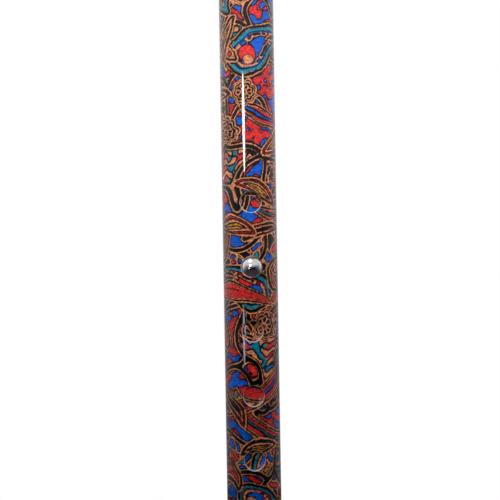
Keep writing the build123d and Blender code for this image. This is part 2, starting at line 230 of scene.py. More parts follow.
def net(u, v, girth, cell, seed, rounding):
    """Cells round points scattered on a grid that closes round the tube.

    The border distance is the least distance to the line halfway to any neighbour's point,
    softened at the corners by a logarithm of summed exponentials. Returns it with the cell's own
    random tone and the distance to the cell's point.
    """
    columns = max(3, round(girth / cell))
    width = girth / columns
    rng = np.random.default_rng(seed)
    shift = rng.uniform(-0.36, 0.36, (2, NET_ROWS, columns)).astype(np.float32)
    tone = rng.random((NET_ROWS, columns)).astype(np.float32)
    column = np.floor(u / width).astype(int)
    row = np.floor(v / cell).astype(int)
    reach = [(i, j) for i in (-2, -1, 0, 1, 2) for j in (-2, -1, 0, 1, 2)]
    du = np.empty((len(reach), len(u)), np.float32)
    dv = np.empty_like(du)
    tones = np.empty_like(du)
    for n, (i, j) in enumerate(reach):
        r, c = (row + i) % NET_ROWS, (column + j) % columns
        du[n] = (column + j + 0.5 + shift[0, r, c]) * width - u
        dv[n] = (row + i + 0.5 + shift[1, r, c]) * cell - v
        tones[n] = tone[r, c]
    squared = du ** 2 + dv ** 2
    own = squared.argmin(0)[None]
    own_squared = np.take_along_axis(squared, own, 0)
    apart = np.hypot(du - np.take_along_axis(du, own, 0), dv - np.take_along_axis(dv, own, 0))
    np.put_along_axis(apart, own, 1, 0)
    border = (squared - own_squared) / (2 * apart)
    np.put_along_axis(border, own, FAR, 0)
    nearest = border.min(0)
    rounded = nearest - np.log(np.exp((nearest - border) * rounding).sum(0)) / rounding
    return rounded, np.take_along_axis(tones, own, 0)[0], np.sqrt(own_squared[0])


def stroke(x, y, path, half):
    """A stroke of changing width along a path of runs.

    Returns the signed distance to its edge, the length run to the nearest point and the offset to
    the side, positive on the left.
    """
    edge = np.full(x.shape, FAR)
    along = np.zeros(x.shape)
    side = np.zeros(x.shape)
    done = 0.0
    for (ax, ay), (bx, by), half_a, half_b in zip(path, path[1:], half, half[1:]):
        dx, dy = bx - ax, by - ay
        length = math.hypot(dx, dy)
        share = np.clip(((x - ax) * dx + (y - ay) * dy) / length ** 2, 0, 1)
        px, py = x - ax - share * dx, y - ay - share * dy
        off = np.hypot(px, py)
        d = off - (half_a + share * (half_b - half_a))
        closer = d < edge
        edge = np.where(closer, d, edge)
        along = np.where(closer, done + share * length, along)
        side = np.where(closer, np.copysign(off, dx * py - dy * px), side)
        done += length
    return edge, along, side


def spine(length, headings):
    """Points of a path from the origin in equal runs, each along the heading of its start."""
    step = length / (len(headings) - 1)
    x = np.concatenate(([0], np.cumsum(np.cos(headings[:-1]) * step)))
    y = np.concatenate(([0], np.cumsum(np.sin(headings[:-1]) * step)))
    return list(zip(x, y))


class Print:
    """Ink on a regular grid of rows and columns of one tube wall.

    copper and black hold signed distances to the edges of the copper and the black lines, negative
    inside a line, and fill holds the colour between the lines.
    """

    def __init__(self, u, v, girth, tube_seed):
        self.shape, self.girth = u.shape, girth
        self.pitch_u, self.pitch_v = girth / u.shape[1], v[2, 0] - v[1, 0]
        self.u, self.v = u.ravel(), v.ravel()
        self.seed = tube_seed
        self.copper = np.full(self.u.shape, NO_LINE)
        self.black = np.full(self.u.shape, NO_LINE)
        self.fill = np.tile(BLACK, (len(self.u), 1))
        self.all = np.arange(len(self.u))
        wide, fine = self.warped(0.3, 9, 901), self.warped(0.05, 1.5, 905)
        self.hand_u, self.hand_v = wide[0] + fine[0] - self.u, wide[1] + fine[1] - self.v
        self.coral = self.islands(3.8, -0.15, 902)
        self.islets = self.islands(3.1, -0.05, 903)
        _, self.cell_tone, _ = self.cells(4.5, 60, 2.4)

    def warped(self, reach, size, seed):
        """The grid's places, pushed about by two smooth fields."""
        seed += self.seed
        return (self.u + reach * drift(self.u, self.v, self.girth, size, seed),
                self.v + reach * drift(self.u, self.v, self.girth, size, seed + 1))

    def even(self, field, least, most):
        """A field divided by its own slope, so that lines along it keep one width."""
        grid = field.reshape(self.shape)
        ring = np.concatenate((grid[:, -1:], grid, grid[:, :1]), 1)
        slope = np.hypot((ring[:, 2:] - ring[:, :-2]) / (2 * self.pitch_u),
                         np.gradient(grid, self.pitch_v, axis=0))
        return (grid / np.clip(slope, least, most)).ravel()

    def cells(self, cell, seed, rounding, reach=0.0, size=1.0):
        """A net on warped places, with its border distance made even."""
        u, v = self.warped(reach, size, seed) if reach else (self.u, self.v)
        border, tone, centre = net(u, v, self.girth, cell, self.seed + seed + 2, rounding)
        return (self.even(border, 0.55, 2.5) if reach else border), tone, centre

    def islands(self, size, level, seed):
        """Signed distance, negative inside, to the places where a smooth field tops a level."""
        field = level - drift(self.u, self.v, self.girth, size, self.seed + seed, 9)
        return self.even(field, 0.25, 9)

    def near(self, u, v, reach, turn):
        """The grid points within reach of a place, and where they lie from it, turned."""
        du = (self.hand_u - u + self.girth / 2) % self.girth - self.girth / 2
        dv = self.hand_v - v
        spot = np.flatnonzero((np.abs(du) < reach) & (np.abs(dv) < reach))
        du, dv = du[spot], dv[spot]
        return (spot, du * math.cos(turn) + dv * math.sin(turn),
                dv * math.cos(turn) - du * math.sin(turn))

    def flood(self, spot, inside, colour):
        """Fills the places inside a shape, and clears the lines that were there."""
        at = spot[inside]
        self.fill[at] = colour
        self.copper[at] = NO_LINE
        self.black[at] = NO_LINE

    def line(self, spot, distance, half=COPPER_HALF):
        """A copper line where the distance is nought."""
        self.copper[spot] = np.minimum(self.copper[spot], np.abs(distance) - half)

    def rim(self, spot, distance, half):
        """A black line where the distance is nought."""
        self.black[spot] = np.minimum(self.black[spot], np.abs(distance) - BLACK_WEIGHT * half)

    def outlined(self, spot, distance, colour, half=COPPER_HALF):
        """A shape, where the distance is under nought, filled and with a copper outline."""
        self.flood(spot, distance < 0, colour)
        self.line(spot, distance, half)

    def rimmed(self, spot, distance, colour, half):
        """The same with a black outline."""
        self.flood(spot, distance < 0, colour)
        self.rim(spot, distance, half)

    def pick(self, where, tone, inks):
        """Fills cells by their tone: each colour has the share of tones up to its own limit."""
        low = 0.0
        for limit, colour in inks:
            self.fill[where & (tone >= low) & (tone < limit)] = colour
            low = limit


EYED, EYED_BLUE = (TEAL, RED, BLUE), (TEAL, BLUE, RED)  # border, body and eye of a drop
DROP_KINDS = ("coral", EYED, "lanes", EYED, EYED_BLUE, "lanes", EYED)
LANE_WIDTH, LANE_INKS = 1.9, (RED, BLACK, BLUE, RED, BLACK)
LEAF_INKS = ((TEAL, GOLD), (RED, BLACK), (RED, GOLD), (BLUE, GOLD))
RIBBON_KINDS = (("beads", BLUE), ("stripes", TEAL), ("plain", RED), ("stripes", BLUE),
                ("beads", BLUE), ("plain", TEAL))
PETALS = 9
MOTIF_SHARES = DROPS, RIBBONS, LEAVES, _ = 0.4, 0.62, 0.92, 1  # up to where each kind is drawn


def pebbles(p, where):
    """A copper net of small rounded cells on black. Some are red or blue, with a copper dot."""
    border, tone, centre = p.cells(3.4, 40, 3.0, 0.7, 6)
    black_share = 0.74
    p.pick(where, tone, ((black_share, BLACK), (0.94, RED), (1.0, BLUE)))
    p.line(p.all[where], border[where])
    dotted = where & (tone > black_share)
    p.line(p.all[dotted], centre[dotted], 0.26)


def corals(p, where, edge):
    """Branching red islands with a double black rim on blue, which keep clear of the edge."""
    clear = 1.2
    p.fill[where] = BLUE
    inside = where & (p.coral < 0) & (edge > clear)
    p.fill[inside] = RED
    p.rim(p.all[where], np.maximum(p.coral, clear - edge)[where], 0.19)
    p.rim(p.all[inside], p.coral[inside] + 0.8, 0.12)


def islets(p, where):
    """Uneven islands of several colours with a black rim on bare copper."""
    p.fill[where] = COPPER
    inside = where & (p.islets < 0)
    p.pick(inside, p.cell_tone, ((0.2, TEAL), (0.46, BLUE), (0.78, RED), (1.0, BLACK)))
    p.rim(p.all[where], p.islets[where], 0.28)


def patches(p, where):
    """A copper net with cells of every colour."""
    border, tone, _ = p.cells(4.2, 70, 2.6, 0.9, 8)
    p.pick(where, tone, ((0.24, BLUE), (0.33, TEAL), (0.6, BLACK), (0.94, RED), (1.0, GOLD)))
    p.line(p.all[where], border[where], 0.22)


def lanes(p, spot, depth):
    """Stripes of equal width inwards from an edge, with copper lines between."""
    inside = depth > 0
    band = np.clip((depth / LANE_WIDTH).astype(int), 0, len(LANE_INKS) - 1)
    for n, colour in enumerate(LANE_INKS):
        p.flood(spot, inside & (band == n), colour)
    step = depth - np.round(depth / LANE_WIDTH) * LANE_WIDTH
    p.line(spot[inside], step[inside], INNER_HALF)


def fields(p):
    """The ground: large fields of four kinds, parted by double copper lines on black."""
    border, tone, _ = p.cells(17, 10, 1.6, 4.0, 26)
    pebbled, with_islets, patched, gap = 0.28, 0.46, 0.68, 0.75
    pebbles(p, tone < pebbled)
    islets(p, (tone >= pebbled) & (tone < with_islets))
    patches(p, (tone >= with_islets) & (tone < patched))
    corals(p, tone >= patched, border)
    p.outlined(p.all, border - gap, BLACK)


def drop(p, u, v, turn, size, hand, kind):
    """A drop with a curling tail: a stroke that narrows along an ever tighter path."""
    share = np.linspace(0, 1, 22)
    path = spine(2.3 * size, hand * 1.7 * share ** 2)
    half = size * (0.66 * (1 - share) ** 0.9 + 0.02)
    spot, x, y = p.near(u, v, 2.5 * size, turn)
    x = x + 0.7 * size
    edge, along, _ = stroke(x, y, path, half)
    p.outlined(spot, edge - DROP_MARGIN, BLACK)
    if kind == "lanes":
        lanes(p, spot, -edge)
        p.line(spot, edge)
        return
    if kind == "coral":
        p.line(spot, edge)
        core = edge < -INNER_HALF
        p.flood(spot, core, BLUE)
        inside, depth = np.zeros(len(p.all), bool), np.zeros(len(p.all))
        inside[spot[core]] = True
        depth[spot] = -edge
        corals(p, inside, depth)
        return
    outer, body, eye = kind
    p.line(spot, edge, INNER_HALF)
    p.flood(spot, edge < 0, outer)
    band = 0.12 * size
    p.rimmed(spot, edge + band, body, 0.2)
    beat = 0.2 * size
    scallop = np.hypot((along / beat % 1 - 0.5) * beat, edge + band + 0.1 * size) - 0.09 * size
    within = edge < -band - 0.3
    p.line(spot[within], scallop[within], 0.15)
    disc = np.hypot(x, y + 0.06 * size * hand) - 0.34 * size
    p.rimmed(spot, disc, eye, 0.17)
    pupil = np.hypot(x + 0.12 * size, y - 0.12 * size * hand) - 0.22 * size
    p.rimmed(spot, pupil, COPPER, 0.14)
    inner = path[8:19]
    tail_half = 0.11 * size * np.sin(np.linspace(0, pi, len(inner))) + 0.02
    tail, _, _ = stroke(x, y, inner, tail_half)
    p.outlined(spot, tail, BLACK, INNER_HALF)


def leaf(p, u, v, turn, length, width, bend, inks):
    """A pointed leaf: a stroke whose width is a half wave of the sine, with a core and a rib."""
    outer, core = inks
    border = 0.2 * width
    share = np.linspace(0, 1, 16)
    path = spine(length, bend * (share - 0.5))
    half = width / 2 * np.sin(pi * share) ** 0.8 + 0.02
    spot, x, y = p.near(u, v, 0.75 * length, turn)
    edge, _, side = stroke(x + length / 2, y, path, half)
    p.outlined(spot, edge - LEAF_MARGIN, BLACK, 0.22)
    p.flood(spot, edge < 0, outer)
    p.rim(spot, edge + border, 0.15)
    p.outlined(spot, edge + border, core, INNER_HALF)
    rib = edge < -0.26 * width
    p.rim(spot[rib], side[rib], 0.16)


def ribbon(p, u, v, turn, length, bend, half, kind, colour):
    """A long tapering band on a bent path: a bead chain, stripes or one colour."""
    share = np.linspace(0, 1, 26)
    path = spine(length, bend * (share - 0.5))
    taper = np.sin(pi * share) ** 0.55
    spot, x, y = p.near(u, v, 0.62 * length, turn)
    edge, along, side = stroke(x + length / 2, y, path, half * taper + 0.02)
    p.outlined(spot, edge - RIBBON_MARGIN, BLACK)
    p.line(spot, edge, INNER_HALF)
    inside = edge < -INNER_HALF
    p.flood(spot, inside, BLACK if kind == "stripes" else colour)
    at = spot[inside]
    if kind == "beads":
        pitch = 2.6
        bead = np.hypot(along % pitch - pitch / 2, 1.1 * side)[inside]
        p.fill[at[bead < 1.0]] = RED
        p.line(at, bead - 1.1, INNER_HALF)
    elif kind == "stripes":
        for offset, width, shade in ((-0.6, 0.27, RED), (0.02, 0.17, colour), (0.52, 0.22, RED)):
            lane = np.abs(side - offset * half)[inside] - width * half
            p.fill[at[lane < 0]] = shade
            p.rim(at, lane, 0.12)
    else:
        pitch = 1.7
        p.rim(at, side[inside] - 0.3 * half, 0.12)
        p.rim(at, np.hypot(along % pitch - pitch / 2, side + 0.35 * half)[inside], 0.24)


def blossom(p, u, v, turn, radius):
    """A round flower, its edge swollen by the sine of its petals' angle, with spokes and heart."""
    spot, x, y = p.near(u, v, 1.4 * radius, turn)
    reach, angle = np.hypot(x, y), np.arctan2(y, x)
    wave = np.abs(np.sin(PETALS * angle / 2))
    swell = 0.15
    for share, colour in ((1.04, TEAL), (0.86, BLACK), (0.62, BLACK)):
        edge = reach - radius * (share - swell + swell * wave)
        p.outlined(spot, edge, colour, INNER_HALF)
    spoke = np.maximum(reach * wave * 2 / PETALS, np.abs(reach - 0.4 * radius) - 0.16 * radius)
    p.line(spot, spoke, 0.15)
    p.outlined(spot, reach - 0.2 * radius, RED, INNER_HALF)


def scattered(p, low, high):
    """Motifs all over the tube, in uneven rows. The widest kind comes first, so lies lowest."""
    rng = np.random.default_rng(p.seed + 90)
    row_step, columns, beyond = 15, 4, 40
    seen_low, seen_high = p.v.min() - beyond, p.v.max() + beyond
    motifs = []
    for row, v in enumerate(np.arange(low - 10, high + 10, row_step)):
        for column in range(columns):
            u = (column + 0.5 * (row % 2) + rng.uniform(-0.25, 0.25)) * p.girth / columns
            kind, size, hand = rng.random(), rng.random(), rng.choice((-1, 1))
            motifs.append((kind, u, v + rng.uniform(-4, 4), rng.uniform(0, 2 * pi), size, hand))
    for least, most in zip((0, *MOTIF_SHARES), MOTIF_SHARES):
        for kind, u, v, turn, size, hand in motifs:
            if not (least <= kind < most and seen_low < v < seen_high):
                continue
            if most == DROPS:
                tilt = 0.35 * (turn - pi) + (pi if hand > 0 else 0)
                drop(p, u, v, tilt, 6.5 + 4.5 * size, hand,
                     DROP_KINDS[int(len(DROP_KINDS) * kind / DROPS)])
            elif most == RIBBONS:
                ribbon(p, u, v, 0.25 * turn - 0.7, 28 + 20 * size, 1.5 * hand, 1.6 + 0.8 * size,
                       *RIBBON_KINDS[int(len(RIBBON_KINDS) * size)])
            elif most == LEAVES:
                leaf(p, u, v, turn, 12 + 8 * size, 3 + 2.2 * size, hand,
                     LEAF_INKS[int(len(LEAF_INKS) * size)])
            else:
                blossom(p, u, v, turn, 3.6 + 2 * size)


# --------------------------------------
# The printed tubes

ROWS_PER_HOLE = 72  # rows of the fine grid from hole to hole
PATCH = 16  # half the side of the square of grid cells that gives way to rings round a hole
PATCH_RINGS = 7
EDGE_RINGS = 4
COARSE = 4  # points of the wall to one of the bore, which fan joins
ROW = HOLE_PITCH / ROWS_PER_HOLE
UPPER_COLUMNS, LOWER_COLUMNS = 192, 168
WALL_MAP_WIDTH = 0.84  # from here on: where the map holds the wall, bore, holes and ends
BORE_MAP_LEFT, BORE_MAP_WIDTH = 0.86, 0.05
HOLE_MAP_LOW, HOLE_MAP_PITCH, HOLE_MAP_STEP = 0.04, 0.07, 0.01
END_MAP_LOWS, END_MAP_PITCH, END_MAP_STEP = (0.8, 0.9), 0.025, 0.02


def sampled(grid, row, column):
    """The value of a grid between its rows and columns, which close into a ring."""
    r, c = np.floor(row).astype(int), np.floor(column).astype(int)
    fr, fc = (row - r)[..., None], (column - c)[..., None]
    columns = grid.shape[1]
    a, b = grid[r, c % columns], grid[r, (c + 1) % columns]
    d, e = grid[r + 1, c % columns], grid[r + 1, (c + 1) % columns]
    return (a * (1 - fc) + b * fc) * (1 - fr) + (d * (1 - fc) + e * fc) * fr


class Band:
    """Points, faces and ink of one band of a tube, as they are gathered."""

    def __init__(self):
        self.points, self.inks, self.faces, self.uvs, self.kinds = [], [], [], [], []
        self.count = 0

    def add(self, radius, angle, height, inks=None):
        """Points by radius, angle from the tube's front and height. Returns their numbers."""
        radius, angle, height = np.broadcast_arrays(radius, angle, height)
        place = np.stack((radius * np.sin(angle), -radius * np.cos(angle), height), -1)
        self.points.append(place.reshape(-1, 3))
        blank = np.tile((NO_LINE, NO_LINE, 0, 0, 0), (place[..., 0].size, 1))
        self.inks.append(blank if inks is None else inks.reshape(-1, 5))
        numbers = np.arange(self.count, self.count + place[..., 0].size).reshape(place.shape[:-1])
        self.count += numbers.size
        return numbers

    def cover(self, faces, uvs, kind):
        """Faces with their map places, of ink under lacquer for kind 0 and bare metal for 1."""
        self.faces.append(faces)
        self.uvs.append(uvs)
        self.kinds.append(kind)


def grid_cells(numbers, kept, left, width, way):
    """Quads of a ring-shaped grid that face outwards for way 1 and inwards for -1, and their map
    places. The map is cut at the back."""
    rows, columns = numbers.shape
    right = np.roll(numbers, -1, 1)
    quads = np.stack((numbers[:-1], right[:-1], right[1:], numbers[1:]), -1)
    a = left + width * ((np.arange(columns) + columns // 2) % columns) / columns
    b = a + width / columns
    t = np.arange(rows) / (rows - 1)
    a, s = np.broadcast_arrays(a, t[:-1, None])
    b, t = np.broadcast_arrays(b, t[1:, None])
    uvs = np.stack((a, s, b, s, b, t, a, t), -1).reshape(rows - 1, columns, 4, 2)
    return quads[kept][:, ::way], uvs[kept][:, ::way]


def tube_band(name, radius, columns, steps, ends, holes, inks, materials):
    """One closed band of a tube with round holes.

    The outer wall is a fine grid in turn and height, and the bore a coarser one. Round a hole a
    square of cells gives way to rings that pass evenly from the square to the hole, a quarter
    round of bare metal and the straight wall of the hole. steps are the rows as multiples of the
    row height above the button, ends says whether the low and high ends are the tube's own, and
    holes are (row step, column, height, radius) of each hole.
    """
    band = Band()
    bore = radius - TUBE_WALL
    angle = 2 * pi * np.arange(columns) / columns
    heights = button_height + ROW * steps
    wall = band.add(radius, angle, heights[:, None], inks)
    at_coarse = np.flatnonzero((steps % COARSE == 0) | (steps == steps[0]) | (steps == steps[-1]))
    bore_angle = angle[::COARSE]
    inside = band.add(bore, bore_angle, heights[at_coarse, None])
    kept = np.ones((len(steps) - 1, columns), bool)
    kept_inside = np.ones((len(at_coarse) - 1, columns // COARSE), bool)
    for number, (step, column, height, hole_radius) in enumerate(holes):
        row = int(np.searchsorted(steps, step))
        dr, dc = square_loop(PATCH)
        kept[np.ix_(np.arange(row - PATCH, row + PATCH),
                    np.arange(column - PATCH, column + PATCH) % columns)] = False
        square = wall[row + dr, (column + dc) % columns]
        du, dv = dc * 2 * pi * radius / columns, heights[row + dr] - height
        away = np.arctan2(dv, du)
        facing = 2 * pi * ((column + columns // 2) % columns - columns // 2) / columns
        outer = hole_radius + HOLE_EDGE
        hole_u = radius * np.arcsin(outer * np.cos(away) / radius)
        hole_v = outer * np.sin(away)
        loop, loop_u, loop_v = square, du, dv
        for ring in range(1, PATCH_RINGS + 1):
            share = ring / PATCH_RINGS
            u, v = du + (hole_u - du) * share, dv + (hole_v - dv) * share
            ring_inks = sampled(inks, row + (height + v - heights[row]) / ROW,
                                column + u * columns / (2 * pi * radius))
            new = band.add(radius, facing + u / radius, height + v, ring_inks)
            a, b = (np.stack((WALL_MAP_WIDTH * ((facing + lu / radius) / (2 * pi) + 0.5),
                              (height + lv - heights[0]) / (heights[-1] - heights[0])), -1)
                    for lu, lv in ((loop_u, loop_v), (u, v)))
            band.cover(strip(loop, new),
                       np.stack((a, np.roll(a, -1, 0), np.roll(b, -1, 0), b), 1), 0)
            loop, loop_u, loop_v = new, u, v
        low = HOLE_MAP_LOW + HOLE_MAP_PITCH * number
        turns = [ring * pi / 2 / EDGE_RINGS for ring in range(1, EDGE_RINGS + 1)]
        rings = [(hole_radius + HOLE_EDGE * (1 - math.sin(turn)), radius,
                  HOLE_EDGE * (1 - math.cos(turn))) for turn in turns]
        for reach, wall_radius, depth in rings + [(hole_radius, bore, 0)]:
            across = reach * np.cos(away)
            out = np.sqrt(wall_radius ** 2 - across ** 2) - depth
            new = band.add(np.hypot(across, out), facing + np.arctan2(across, out),
                           height + reach * np.sin(away))
            band.cover(*joined(loop, new, low, low + HOLE_MAP_STEP), 1)
            loop, low = new, low + HOLE_MAP_STEP
        row = int(np.searchsorted(steps[at_coarse], step))
        half, middle, around = PATCH // COARSE, column // COARSE, columns // COARSE
        dr, dc = square_loop(half)
        kept_inside[np.ix_(np.arange(row - half, row + half),
                           np.arange(middle - half, middle + half) % around)] = False
        square = inside[row + dr, (middle + dc) % around]
        band.cover(*joined(loop, square, low, low + HOLE_MAP_STEP), 1)
    band.cover(*grid_cells(wall, kept, 0, WALL_MAP_WIDTH, 1), 0)
    band.cover(*grid_cells(inside, kept_inside, BORE_MAP_LEFT, BORE_MAP_WIDTH, -1), 1)
    for end, way, low, own in zip((0, -1), (-1, 1), END_MAP_LOWS, ends):
        loops = [wall[end], inside[end]]
        if own:
            height = heights[end] + way * EDGE_BREAK
            loops[1:1] = [band.add(radius - EDGE_BREAK, angle, height),
                          band.add(bore + EDGE_BREAK, bore_angle, height)]
        for a, b in zip(loops, loops[1:]):
            faces, uvs = joined(a, b, low, low + END_MAP_STEP)
            band.cover(faces[:, ::way], uvs[:, ::way], 1)
            low += END_MAP_PITCH
    piece = mesh_object(name, np.concatenate(band.points), band.faces, materials, band.kinds,
                        band.uvs)
    values = np.concatenate(band.inks).astype(np.float32)
    for n, key in enumerate(("copper", "black")):
        attribute = piece.data.attributes.new(key, "FLOAT", "POINT")
        attribute.data.foreach_set("value", values[:, n].copy())
    attribute = piece.data.attributes.new("ink", "FLOAT_VECTOR", "POINT")
    attribute.data.foreach_set("vector", values[:, 2:].ravel())
    return piece


def coarse_step(step):
    """The nearest row that the bore's grid has too."""
    return COARSE * round(step / COARSE)


def printed_tube(node, body, columns, bands, holes, seed):
    """A tube in closed bands end to end, inked in one piece, that stands for its CAD node."""
    low, high = extent(node)
    radius = high[0]
    first = (low[2] + EDGE_BREAK - button_height) / ROW
    last = (high[2] - EDGE_BREAK - button_height) / ROW
    rows = np.arange(math.ceil(first + 0.6), math.floor(last - 0.6) + 1)
    steps = np.concatenate(([first], rows, [last]))
    girth = 2 * pi * radius
    u, v = np.meshgrid(np.arange(columns) * girth / columns, button_height + ROW * steps)
    paint = Print(u / PRINT_UNIT, v / PRINT_UNIT, girth / PRINT_UNIT, seed)
    fields(paint)
    scattered(paint, low[2] / PRINT_UNIT, high[2] / PRINT_UNIT)
    inks = np.column_stack((paint.copper, paint.black, paint.fill))
    inks = inks.reshape(len(steps), columns, 5)
    cuts = [coarse_step(first + (last - first) * n / bands) for n in range(1, bands)]
    edges = [0] + [int(np.searchsorted(steps, cut)) for cut in cuts] + [len(steps) - 1]
    for n, (start, stop) in enumerate(zip(edges, edges[1:])):
        inside = slice(start, stop + 1)
        own = [hole for hole in holes if steps[start] < hole[0] < steps[stop]]
        piece = tube_band(f"{node}_band_{n + 1}", radius, columns, steps[inside],
                          (n == 0, n == bands - 1), own, inks[inside],
                          (shaft_print, bare_aluminium))
        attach(piece, body)
        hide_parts(node)


# --------------------------------------
# Materials

HAIRLINE = 0.42  # how far a copper line's black hairline reaches
LINE_WANDER = 0.06
EDGE_SOFTNESS = 0.07
WHITE = (1, 1, 1, 1)


def node(tree, kind, inputs=None, **settings):
    """A new node: plain values are set on its sockets and other nodes' outputs are linked in."""
    new = tree.nodes.new(kind)
    for key, value in settings.items():
        setattr(new, key, value)
    for key, value in (inputs or {}).items():
        if isinstance(value, bpy.types.NodeSocket):
            tree.links.new(value, new.inputs[key])
        else:
            new.inputs[key].default_value = value
    return new


def ramp(tree, value, low, high, least=0.0, most=1.0):
    """The value's smooth way from low to high, mapped to least and most."""
    settings = {"From Min": low, "From Max": high, "To Min": least, "To Max": most}
    return node(tree, "ShaderNodeMapRange", {"Value": value, **settings},
                interpolation_type="SMOOTHSTEP").outputs["Result"]


def blended(tree, factor, a, b):
    """Two colours mixed by a factor."""
    return node(tree, "ShaderNodeMix", {0: factor, 6: a, 7: b}, data_type="RGBA").outputs[2]


def combined(tree, way, a, b):
    """The sum, product or greater of two values."""
    return node(tree, "ShaderNodeMath", {0: a, 1: b}, operation=way).outputs[0]


def mixed(tree, factor, a, b):
    """Two shaders mixed by a factor."""
    return node(tree, "ShaderNodeMixShader", {0: factor, 1: a, 2: b}).outputs[0]


def rgba(colour):
    """A colour with full opacity."""
    return (*colour, 1.0)


def finish(name, **sockets):
    """A material whose shader's own sockets hold the values given."""
    made = bpy.data.materials.new(name)
    made.use_nodes = True
    tree = made.node_tree
    shader = tree.nodes["Principled BSDF"]
    for key, value in sockets.items():
        shader.inputs[key.replace("_", " ")].default_value = value
    return made, tree, shader


def texture(tree, scale, detail, roughness=0.55, squeeze=(1, 1, 1), distortion=0.0):
    """Noise on the object's coordinates, squeezed along each axis."""
    place = node(tree, "ShaderNodeTexCoord").outputs["Object"]
    place = node(tree, "ShaderNodeMapping", {"Vector": place, "Scale": squeeze}).outputs["Vector"]
    return node(tree, "ShaderNodeTexNoise", {"Vector": place, "Scale": scale, "Detail": detail,
                "Roughness": roughness, "Distortion": distortion}).outputs["Fac"]


def bumped(tree, shader, height, strength, distance, socket="Normal"):
    """A bump from a height, on the shader's base or on its coat."""
    bump = node(tree, "ShaderNodeBump", {"Height": height, "Strength": strength,
                                         "Distance": distance})
    tree.links.new(bump.outputs["Normal"], shader.inputs[socket])


def moulded(name, colour, roughness, scale=2500, depth=0.00003, strength=0.5):
    """Plastic or rubber: uneven in colour and roughness, with a fine grain."""
    made, tree, shader = finish(name)
    cloud = texture(tree, 90, 4)
    shade = blended(tree, ramp(tree, cloud, 0.35, 0.7), rgba(colour * 0.82), rgba(colour * 1.15))
    tree.links.new(shade, shader.inputs["Base Color"])
    tree.links.new(ramp(tree, cloud, 0.3, 0.7, roughness - 0.06, roughness + 0.06),
                   shader.inputs["Roughness"])
    bumped(tree, shader, texture(tree, scale, 2), strength, depth)
    return made


def worked_metal(name, colour, roughness, scale, squeeze=(1, 1, 1), depth=0.00002):
    """Metal with uneven polish: streaks in roughness, a little in colour, and a shallow grain."""
    colour = np.array(colour)
    made, tree, shader = finish(name, Metallic=1.0)
    streak = texture(tree, scale, 5, 0.6, squeeze)
    tree.links.new(ramp(tree, streak, 0.3, 0.75, roughness * 0.75, roughness * 1.35),
                   shader.inputs["Roughness"])
    shade = blended(tree, ramp(tree, streak, 0.35, 0.7), rgba(colour * 0.9),
                    rgba(np.minimum(colour * 1.06, 1)))
    tree.links.new(shade, shader.inputs["Base Color"])
    bumped(tree, shader, streak, 0.3, depth)
    return made


def printed_aluminium():
    """Ink under clear gloss lacquer.

    The attributes copper and black hold the distance to the edges of the lines, so each line is
    drawn where its distance is under nought, and a black hairline where copper's is a little over.
    A noise added to both distances lets the lines swell and thin as if drawn by hand.
    """
    made, tree, shader = finish("shaft_print", Roughness=0.5, Coat_Weight=1.0,
                                Coat_Roughness=0.025, Coat_IOR=1.5, Specular_IOR_Level=0.0)
    copper, black, fill = (node(tree, "ShaderNodeAttribute", attribute_name=key).outputs
                           for key in ("copper", "black", "ink"))
    wander = ramp(tree, texture(tree, 800, 2, 0.6), 0.25, 0.75, -LINE_WANDER, LINE_WANDER)
    copper, black = (combined(tree, "ADD", line["Fac"], wander) for line in (copper, black))
    hairline = ramp(tree, copper, HAIRLINE + EDGE_SOFTNESS, HAIRLINE - EDGE_SOFTNESS)
    drawn = ramp(tree, black, EDGE_SOFTNESS, -EDGE_SOFTNESS)
    dark = combined(tree, "MAXIMUM", hairline, drawn)
    shade = blended(tree, dark, fill["Vector"], rgba(BLACK * 0.5))
    shade = blended(tree, ramp(tree, copper, EDGE_SOFTNESS, -EDGE_SOFTNESS), shade, rgba(COPPER))
    tone = ramp(tree, texture(tree, 1500, 2, 0.7), 0.3, 0.7, 0.5, 1.45)
    shade = node(tree, "ShaderNodeVectorMath", {0: shade, 3: tone}, operation="SCALE").outputs[0]
    tree.links.new(shade, shader.inputs["Base Color"])
    bumped(tree, shader, texture(tree, 160, 2), 0.1, 0.00003, "Coat Normal")
    return made


def lacquered_wood():
    """Dark stained wood: grain as noise drawn out along the grip, with pores, under lacquer."""
    made, tree, shader = finish("handle_wood", Coat_Weight=1.0, Coat_Roughness=0.06,
                                Specular_IOR_Level=0.3)
    figure = texture(tree, 140, 4, 0.6, (0.09, 1, 1), 0.8)
    fibre = texture(tree, 900, 4, 0.65, (0.04, 1, 1), 0.2)
    shade = blended(tree, ramp(tree, figure, 0.35, 0.65), rgba(ink(52, 26, 16)),
                    rgba(ink(96, 52, 30)))
    shade = blended(tree, ramp(tree, fibre, 0.42, 0.7, 0, 0.65), shade, rgba(ink(30, 15, 10)))
    tree.links.new(shade, shader.inputs["Base Color"])
    tree.links.new(ramp(tree, fibre, 0.3, 0.7, 0.38, 0.55), shader.inputs["Roughness"])
    bumped(tree, shader, fibre, 0.25, 0.00005)
    return made


